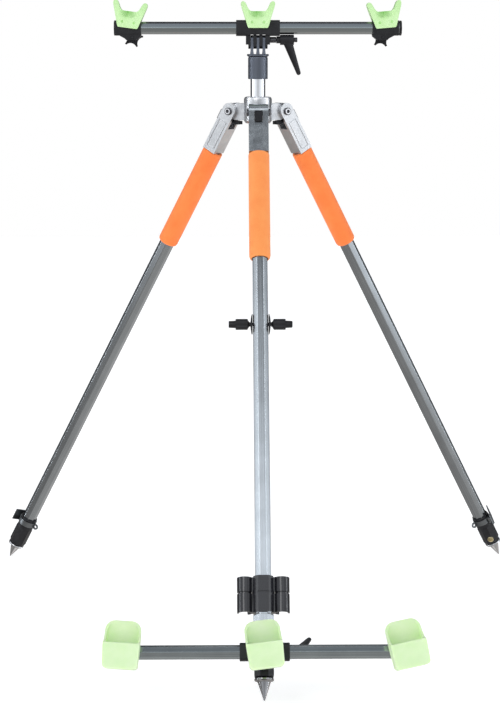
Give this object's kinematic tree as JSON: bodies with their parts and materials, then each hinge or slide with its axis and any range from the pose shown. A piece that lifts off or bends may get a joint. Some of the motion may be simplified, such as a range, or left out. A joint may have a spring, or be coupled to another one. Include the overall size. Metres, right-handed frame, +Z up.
{
  "type": "surf rod tripod",
  "caption": "Telescopic tripod rod stand with a swivelling, tilting upper bar of V rests and a lower bar of butt cups on the front leg.",
  "frame": {"origin": "middle of the bounding box, on the ground that the spikes stand on", "axes": "+Z up; the front leg and the butt cups point to -Y; both bars run along X"},
  "size_m": [1.002, 0.9537, 1.1107],
  "materials": {
    "cast_alloy": "satin",
    "tube": "anodised",
    "chrome": "polished",
    "steel": "plated",
    "band": "plated",
    "collar": "brushed",
    "black_plastic": "fine texture",
    "green_plastic": "translucent pale green",
    "foam": "foam"
  },
  "bodies": {
    "hub": {"hub_casting": "cast_alloy", "centre_post": "chrome"},
    "swivel": {"head_collar": "collar"},
    "head": {"head_tee": "black_plastic", "head_hinge_bolt": "steel", "upper_bar": "tube"},
    "head_lever": {"head_clamp_lever": "black_plastic"},
    "rest_c": {"rest_centre": "green_plastic"},
    "slide_l": {"slider_left": "black_plastic"},
    "slide_r": {"slider_right": "black_plastic"},
    "knob_l": {"star_knob_left": "black_plastic"},
    "knob_r": {"star_knob_right": "black_plastic"},
    "rest_l": {"rest_left": "green_plastic"},
    "rest_r": {"rest_right": "green_plastic"},
    "leg_f": {"yoke_front": "cast_alloy", "pivot_bolt_front": "steel", "grip_front": "foam", "leg_tube_front": "tube", "clamp_body_front": "black_plastic", "clamp_band_front": "band", "saddle_washer_left": "black_plastic", "saddle_washer_right": "black_plastic"},
    "leg_l": {"yoke_left": "cast_alloy", "pivot_bolt_left": "steel", "grip_left": "foam", "leg_tube_left": "tube", "clamp_body_left": "black_plastic", "clamp_band_left": "band"},
    "leg_r": {"yoke_right": "cast_alloy", "pivot_bolt_right": "steel", "grip_right": "foam", "leg_tube_right": "tube", "clamp_body_right": "black_plastic", "clamp_band_right": "band"},
    "pawl_f": {"angle_pawl_front": "black_plastic"},
    "pawl_l": {"angle_pawl_left": "black_plastic"},
    "pawl_r": {"angle_pawl_right": "black_plastic"},
    "lower_f": {"lower_tube_front": "tube", "spike_front": "steel"},
    "lower_l": {"lower_tube_left": "tube", "spike_left": "steel"},
    "lower_r": {"lower_tube_right": "tube", "spike_right": "steel"},
    "lever_f": {"clamp_lever_front": "band"},
    "lever_l": {"clamp_lever_left": "band"},
    "lever_r": {"clamp_lever_right": "band"},
    "thumb_l": {"accessory_knob_left": "black_plastic"},
    "thumb_r": {"accessory_knob_right": "black_plastic"},
    "carriage": {"leg_clip": "black_plastic", "butt_carriage": "tube"},
    "carriage_screw": {"carriage_knob": "black_plastic"},
    "butt_head": {"butt_tee": "black_plastic", "butt_hinge_bolt": "steel", "lower_bar": "tube"},
    "butt_lever": {"butt_clamp_lever": "black_plastic"},
    "cup_c": {"butt_cup_centre": "green_plastic"},
    "cup_slide_l": {"cup_slider_left": "black_plastic"},
    "cup_slide_r": {"cup_slider_right": "black_plastic"},
    "cup_l": {"butt_cup_left": "green_plastic"},
    "cup_r": {"butt_cup_right": "green_plastic"}
  },
  "joints": [
    {"name": "head_swivel", "type": "hinge", "parent": "hub", "child": "swivel", "pos_m": [0, 0.1807, 0.98], "axis": [0, 0, 1], "continuous": true},
    {"name": "head_tilt", "type": "hinge", "parent": "swivel", "child": "head", "pos_m": [0, 0.1807, 1.039], "axis": [1, 0, 0], "range_deg": [-60, 60]},
    {"name": "head_lever_turn", "type": "hinge", "parent": "head", "child": "head_lever", "pos_m": [0.05, 0.1807, 1.039], "axis": [1, 0, 0], "range_deg": [-85, 85]},
    {"name": "rest_centre_rock", "type": "hinge", "parent": "head", "child": "rest_c", "pos_m": [0, 0.1807, 1.064], "axis": [0, 1, 0], "range_deg": [-10, 10]},
    {"name": "slider_left_slide", "type": "slide", "parent": "head", "child": "slide_l", "axis": [1, 0, 0], "range_m": [0, 0.15]},
    {"name": "slider_right_slide", "type": "slide", "parent": "head", "child": "slide_r", "axis": [-1, 0, 0], "range_m": [0, 0.12]},
    {"name": "star_knob_left_turn", "type": "hinge", "parent": "slide_l", "child": "knob_l", "pos_m": [-0.2262, 0.1807, 1.0435], "axis": [0, 1, 0], "continuous": true},
    {"name": "star_knob_right_turn", "type": "hinge", "parent": "slide_r", "child": "knob_r", "pos_m": [0.225, 0.1807, 1.0435], "axis": [0, 1, 0], "continuous": true},
    {"name": "rest_left_rock", "type": "hinge", "parent": "slide_l", "child": "rest_l", "pos_m": [-0.234, 0.1807, 1.064], "axis": [0, 1, 0], "range_deg": [-17.5, 2.5]},
    {"name": "rest_right_rock", "type": "hinge", "parent": "slide_r", "child": "rest_r", "pos_m": [0.23, 0.1807, 1.064], "axis": [0, 1, 0], "range_deg": [-5, 15]},
    {"name": "leg_front_fold", "type": "hinge", "parent": "hub", "child": "leg_f", "pos_m": [0, 0.1287, 0.91062], "axis": [1, 0, 0], "range_deg": [0, 30]},
    {"name": "leg_left_fold", "type": "hinge", "parent": "hub", "child": "leg_l", "pos_m": [-0.04503, 0.2067, 0.91062], "axis": [-0.5, -0.866, 0], "range_deg": [0, 30]},
    {"name": "leg_right_fold", "type": "hinge", "parent": "hub", "child": "leg_r", "pos_m": [0.04503, 0.2067, 0.91062], "axis": [-0.5, 0.866, 0], "range_deg": [0, 30]},
    {"name": "pawl_front_turn", "type": "hinge", "parent": "leg_f", "child": "pawl_f", "pos_m": [0, 0.11523, 0.91089], "axis": [1, 0, 0], "range_deg": [-24, 0]},
    {"name": "pawl_left_turn", "type": "hinge", "parent": "leg_l", "child": "pawl_l", "pos_m": [-0.0567, 0.21343, 0.91089], "axis": [-0.5, -0.866, 0], "range_deg": [-24, 0]},
    {"name": "pawl_right_turn", "type": "hinge", "parent": "leg_r", "child": "pawl_r", "pos_m": [0.0567, 0.21343, 0.91089], "axis": [-0.5, 0.866, 0], "range_deg": [-24, 0]},
    {"name": "lower_front_slide", "type": "slide", "parent": "leg_f", "child": "lower_f", "axis": [0, -0.5, -0.866], "range_m": [0, 0.38]},
    {"name": "lower_left_slide", "type": "slide", "parent": "leg_l", "child": "lower_l", "axis": [-0.433, 0.25, -0.866], "range_m": [0, 0.38]},
    {"name": "lower_right_slide", "type": "slide", "parent": "leg_r", "child": "lower_r", "axis": [0.433, 0.25, -0.866], "range_m": [0, 0.38]},
    {"name": "clamp_lever_front_turn", "type": "hinge", "parent": "leg_f", "child": "lever_f", "pos_m": [-0.00361, -0.33306, 0.06986], "axis": [0, -0.5, -0.866], "range_deg": [0, 100]},
    {"name": "clamp_lever_left_turn", "type": "hinge", "parent": "leg_l", "child": "lever_l", "pos_m": [-0.45276, 0.46575, 0.08191], "axis": [-0.433, 0.25, -0.866], "range_deg": [0, 100]},
    {"name": "clamp_lever_right_turn", "type": "hinge", "parent": "leg_r", "child": "lever_r", "pos_m": [0.47324, 0.43028, 0.08191], "axis": [0.433, 0.25, -0.866], "range_deg": [0, 100]},
    {"name": "accessory_knob_left_turn", "type": "hinge", "parent": "leg_f", "child": "thumb_l", "pos_m": [-0.03, -0.0751, 0.55763], "axis": [1, 0, 0], "continuous": true},
    {"name": "accessory_knob_right_turn", "type": "hinge", "parent": "leg_f", "child": "thumb_r", "pos_m": [0.03, -0.0751, 0.55763], "axis": [1, 0, 0], "continuous": true},
    {"name": "carriage_slide", "type": "slide", "parent": "leg_f", "child": "carriage", "axis": [0, 0.5, 0.866], "range_m": [0, 0.4]},
    {"name": "carriage_knob_turn", "type": "hinge", "parent": "carriage", "child": "carriage_screw", "pos_m": [0, -0.31465, 0.09272], "axis": [0, 0.866, -0.5], "continuous": true},
    {"name": "butt_tilt", "type": "hinge", "parent": "carriage", "child": "butt_head", "pos_m": [0, -0.39013, 0.07798], "axis": [1, 0, 0], "range_deg": [-10, 45]},
    {"name": "butt_lever_turn", "type": "hinge", "parent": "butt_head", "child": "butt_lever", "pos_m": [0.05, -0.39013, 0.07798], "axis": [1, 0, 0], "range_deg": [-108, 62]},
    {"name": "cup_centre_swivel", "type": "hinge", "parent": "butt_head", "child": "cup_c", "pos_m": [0, -0.40973, 0.08551], "axis": [0, -0.9336, 0.3584], "range_deg": [-37, 23]},
    {"name": "cup_left_slide", "type": "slide", "parent": "butt_head", "child": "cup_slide_l", "axis": [1, 0, 0], "range_m": [0, 0.12]},
    {"name": "cup_right_slide", "type": "slide", "parent": "butt_head", "child": "cup_slide_r", "axis": [-1, 0, 0], "range_m": [0, 0.12]},
    {"name": "cup_left_swivel", "type": "hinge", "parent": "cup_slide_l", "child": "cup_l", "pos_m": [-0.224, -0.40973, 0.08551], "axis": [0, -0.9336, 0.3584], "range_deg": [-26, 34]},
    {"name": "cup_right_swivel", "type": "hinge", "parent": "cup_slide_r", "child": "cup_r", "pos_m": [0.224, -0.40973, 0.08551], "axis": [0, -0.9336, 0.3584], "range_deg": [-42, 18]}
  ],
  "couplings": [
    {"joint": "pawl_front_turn", "follows": "leg_front_fold", "ratio": -0.8},
    {"joint": "pawl_left_turn", "follows": "leg_left_fold", "ratio": -0.8},
    {"joint": "pawl_right_turn", "follows": "leg_right_fold", "ratio": -0.8}
  ]
}
